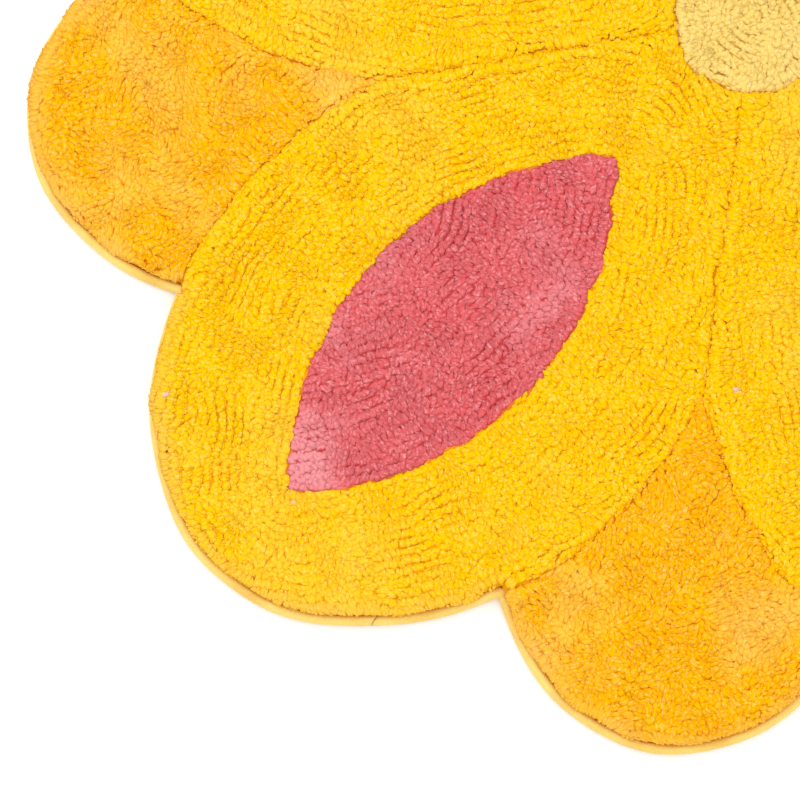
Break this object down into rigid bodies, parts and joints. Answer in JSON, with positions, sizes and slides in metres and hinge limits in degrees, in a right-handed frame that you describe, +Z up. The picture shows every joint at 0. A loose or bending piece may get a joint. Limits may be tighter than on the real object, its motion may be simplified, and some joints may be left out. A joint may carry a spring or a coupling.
{
  "type": "flower-shaped tufted rug",
  "caption": "Flower-shaped hand-tufted cotton rug: cut pile in yellow, amber, rose and cream on a ground cloth, with carved seams and a sewn tape binding; lies flat on a floor.",
  "frame": {"origin": "on the floor, under the middle of the rug's bounding box", "axes": "+Z up through the pile, +X and +Y along the floor; the flower's first front petal points near +X"},
  "size_m": [0.9082, 0.9094, 0.0135],
  "materials": {
    "yellow_pile": "soft cut cotton pile, matte",
    "amber_pile": "soft cut cotton pile, matte, a little shaggier",
    "rose_pile": "soft cut cotton pile, matte",
    "cream_pile": "soft cut cotton pile, matte",
    "binding_tape": "flat woven cotton tape, matte"
  },
  "bodies": {
    "root": {"rug": "yellow_pile", "binding": "binding_tape"}
  },
  "joints": []
}
